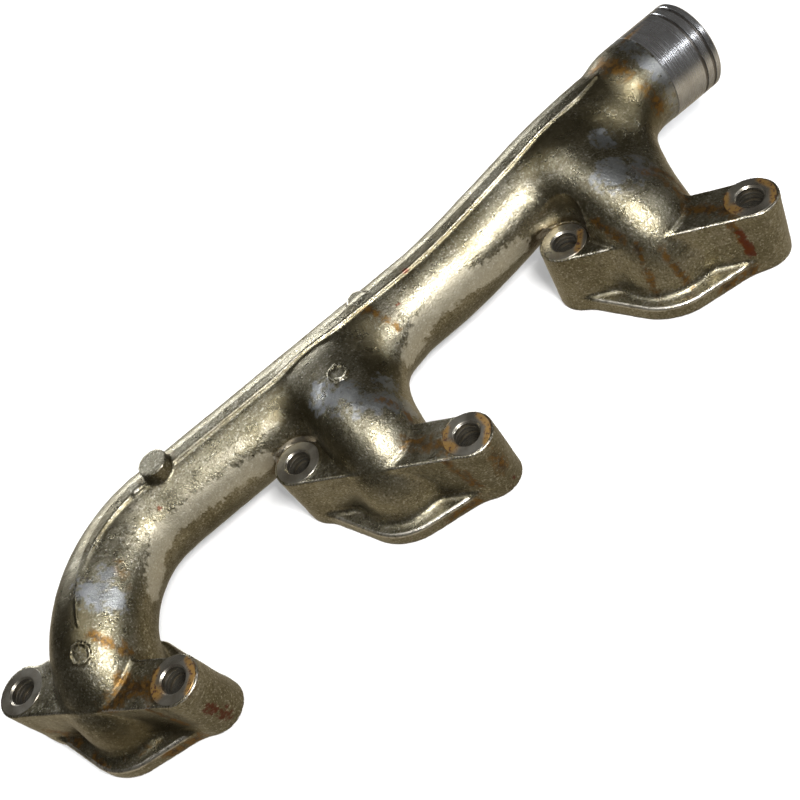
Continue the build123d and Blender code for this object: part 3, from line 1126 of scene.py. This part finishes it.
SPOT_R = 11.0
SPOT_T = 1.2
SPOT_EDGE = 0.12
SPOT_TAPER = 0.3
LINER_R = HOLE_R + 2.4
MOUTH = 0.8
FOOT_CHAMFER = 0.6
# Tool marks in a bolt hole: how far below its mouth, and how deep; all equally wide
HOLE_MARKS = ((3.5, 0.25), (5.5, 0.18), (8.5, 0.15))
MARK_HALF = 0.4


def spot_face_profile():
    """The bolt hole's wall from the top down, then the liner and the spot face back up."""
    top = BOSS_TOP_Z
    wall = [(HOLE_R + MOUTH, top), (HOLE_R, top - MOUTH)]
    for below, depth in HOLE_MARKS:
        z = top - below
        wall += [(HOLE_R, z + MARK_HALF), (HOLE_R + depth, z), (HOLE_R, z - MARK_HALF)]
    wall += [(HOLE_R, FOOT_CHAMFER), (HOLE_R + FOOT_CHAMFER, 0.0), (LINER_R, 0.0)]
    rim = [(LINER_R, top - SPOT_T), (SPOT_R - SPOT_TAPER, top - SPOT_T)]
    rim += [(SPOT_R, top - SPOT_T / 2), (SPOT_R, top - SPOT_EDGE)]
    rim += [(r, top) for r in np.linspace(SPOT_R - SPOT_EDGE, HOLE_R + MOUTH, 5)[:-1]]
    return wall + rim


def build_spot_faces(material):
    """Machined ring on each bolt boss and the drilled hole below it, with its tool marks."""
    profile = spot_face_profile()
    for number, port in enumerate(PORTS, start=1):
        for side, sign in (("inner", -1), ("outer", 1)):
            place = port + (sign * BOLT[0], sign * BOLT[1], 0)
            piece = lathe(f"spot_face_{number}_{side}", profile, place, (0, 0, 1), material)
            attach(piece, CASTING)


GROOVE_HALF = 0.75
GROOVE_DEPTH = 2.4
GROOVE_CHAMFER = 0.15
END_CHAMFER = 0.8
BORE_CHAMFER = 0.5
# The turned piece starts this far inside the casting
SPIGOT_OVERLAP = 0.6


def build_spigot(material):
    """The turned end that the next section slides over, with its two ring grooves."""
    low = SPIGOT_X - SPIGOT_OVERLAP
    end = SPIGOT_END_X
    floor, lip = SPIGOT_R - GROOVE_DEPTH, SPIGOT_R - GROOVE_CHAMFER
    outside = [(SPIGOT_R, low)]
    for name in ("sealing_ring_inner", "sealing_ring_outer"):
        ring_low, ring_high = node_box(name)
        middle = (ring_low[0] + ring_high[0]) / 2
        start, stop = middle - GROOVE_HALF, middle + GROOVE_HALF
        outside += [(SPIGOT_R, start - GROOVE_CHAMFER), (lip, start), (floor, start)]
        outside += [(floor, stop), (lip, stop), (SPIGOT_R, stop + GROOVE_CHAMFER)]
    outside += [(SPIGOT_R, end - END_CHAMFER), (SPIGOT_R - END_CHAMFER, end)]
    inside = [(OUTLET_BORE_R + BORE_CHAMFER, end), (OUTLET_BORE_R, end - BORE_CHAMFER)]
    inside += [(OUTLET_BORE_R, low)]
    origin = np.array([0, LOG_Y, OUTLET_Z])
    piece = lathe("turned_spigot", (outside + inside)[::-1], origin, (1, 0, 0), material, 256)
    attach(piece, CASTING)
    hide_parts("outlet_spigot")


RING_GAP = math.radians(2.1)
RING_DEPTH = 1.65
RING_EDGE = 0.15
RING_STEPS = 181


def ring_section(outer, half):
    """A ring's section with rounded corners, as (radius, height) points."""
    inner = outer - RING_DEPTH
    section = []
    for r, x, start in (
        (outer - RING_EDGE, half - RING_EDGE, 0),
        (inner + RING_EDGE, half - RING_EDGE, 90),
        (inner + RING_EDGE, RING_EDGE - half, 180),
        (outer - RING_EDGE, RING_EDGE - half, 270),
    ):
        for angle in np.radians(start + np.array([0, 30, 60, 90])):
            section.append((r + RING_EDGE * math.cos(angle), x + RING_EDGE * math.sin(angle)))
    return np.array(section)


def build_rings(material):
    """Split sealing rings; the inner one's narrow gap faces down and the outer one's faces up."""
    for name, body, gap_at in (
        ("sealing_ring_inner", "inner_ring", math.pi),
        ("sealing_ring_outer", "outer_ring", 0.0),
    ):
        low, high = node_box(name)
        middle, half = (low[0] + high[0]) / 2, (high[0] - low[0]) / 2
        radius, offset = ring_section((high[1] - low[1]) / 2, half).T
        angles = gap_at + np.linspace(RING_GAP / 2, 2 * math.pi - RING_GAP / 2, RING_STEPS)
        vertices = np.stack(
            [
                np.tile(middle + offset, (RING_STEPS, 1)),
                LOG_Y + np.outer(np.sin(angles), radius),
                OUTLET_Z + np.outer(np.cos(angles), radius),
            ],
            -1,
        ).reshape(-1, 3)
        a = np.arange(len(vertices)).reshape(RING_STEPS, -1)
        b = np.roll(a, -1, 1)
        sides = np.stack([a[:-1], b[:-1], b[1:], a[1:]], -1).reshape(-1, 4).tolist()
        ends = [a[0, ::-1].tolist(), a[-1].tolist()]
        piece = make_mesh("ring_" + name, vertices, sides + ends)
        piece.data.set_sharp_from_angle(angle=math.radians(40))
        piece.data.materials.append(material)
        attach(piece, body)
        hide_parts(name)


# Studio


FLOOR_REACH = 6.0
FLOOR_Z = -0.0005


def build_stage():
    """A plain pale floor just under the flanges; the world stands in for it in reflections."""
    mesh = bpy.data.meshes.new("floor")
    corners = [(-1, -1), (1, -1), (1, 1), (-1, 1)]
    vertices = [(x * FLOOR_REACH, y * FLOOR_REACH, FLOOR_Z) for x, y in corners]
    mesh.from_pydata(vertices, [], [(0, 1, 2, 3)])
    floor = bpy.data.objects.new("floor", mesh)
    bpy.context.scene.collection.objects.link(floor)
    s = Shader(bpy.data.materials.new("pale_floor"))
    mesh.materials.append(
        s.finish(Base_Color=(0.85, 0.85, 0.85), Roughness=1.0, Specular_IOR_Level=0.0)
    )
    floor.visible_glossy = False


def area_light(name, place, size, power, colour=(1, 1, 1)):
    """A soft panel that looks at the middle of the object."""
    light = bpy.data.lights.new(name, "AREA")
    light.shape = "RECTANGLE"
    light.size, light.size_y = size
    light.energy = power
    light.color = colour
    lamp = bpy.data.objects.new(name, light)
    middle = (Vector(CAD_BOX[0]) + Vector(CAD_BOX[1])) / 2
    lamp.location = place
    lamp.rotation_mode = "QUATERNION"
    lamp.rotation_quaternion = (lamp.location - middle).to_track_quat("Z", "Y")
    lamp.visible_camera = False
    bpy.context.scene.collection.objects.link(lamp)


def build_surround():
    """A pale world. Glossy surfaces see it warm, bright at a low angle and dark from level up."""
    s = Shader(bpy.data.worlds.new("studio"), "Background", "Generated")
    height = s.node("ShaderNodeSeparateXYZ", {"Vector": s.place}).outputs["Z"]
    below = s.span(height, -1.0, -0.5, 0.24, 0.68, "LINEAR")
    above = s.span(height, -0.5, -0.02, 0.68, 0.04, "LINEAR")
    glossy = s.node("ShaderNodeLightPath").outputs["Is Glossy Ray"]
    strength = s.span(glossy, 0.0, 1.0, 0.7, s.math("MINIMUM", below, above), "LINEAR")
    tint = s.mix(glossy, (0.98, 0.99, 1.0), (1.0, 0.86, 0.62))
    bpy.context.scene.world = s.finish(Strength=strength, Color=tint)


def build_lights():
    """A small key by the camera, and dim panels behind, beside and above."""
    area_light("key", (0.10, -0.37, 0.50), (0.12, 0.10), 4.7, (1.0, 0.99, 0.98))
    area_light("back", (-0.10, 0.95, 0.30), (0.9, 0.15), 8, (0.95, 0.97, 1.0))
    area_light("side", (0.72, -0.42, 0.58), (0.12, 0.12), 0.8, (0.95, 0.97, 1.0))
    area_light("over", (-0.15, 0.0, 0.9), (0.4, 0.15), 2)
    bpy.context.scene.view_settings.view_transform = "Standard"


# The photograph's view: where the camera is, the way back to it in degrees, its roll, and its lens
CAMERA_PLACE = Vector((-0.98, -300.66, 362.46)) * MM
CAMERA_AZIMUTH = -94.05
CAMERA_ELEVATION = 45.93
CAMERA_ROLL = -36.82
CAMERA_LENS = 45.3


def build_camera():
    """A camera on the bolt side, looking down at the object and rolled."""
    level = (math.radians(90 - CAMERA_ELEVATION), 0, math.radians(90 + CAMERA_AZIMUTH))
    turn = Euler(level).to_matrix().to_4x4() @ Matrix.Rotation(math.radians(CAMERA_ROLL), 4, "Z")
    data = bpy.data.cameras.new("camera")
    data.sensor_width = 36
    data.lens = CAMERA_LENS
    camera = bpy.data.objects.new("camera", data)
    camera.matrix_world = Matrix.Translation(CAMERA_PLACE) @ turn
    bpy.context.scene.collection.objects.link(camera)
    bpy.context.scene.camera = camera


build_casting(cast_iron_material())
build_spot_faces(turned_material("spot_face_iron", 2, (0.40, 0.38, 0.33), (0.27, 0.245, 0.20)))
build_spigot(turned_material("spigot_iron", 0, (0.52, 0.53, 0.55), (0.42, 0.42, 0.43), 0.17))
build_rings(turned_material("ring_steel", 0, (0.20, 0.19, 0.18), (0.12, 0.11, 0.10)))
build_stage()
build_surround()
build_lights()
build_camera()
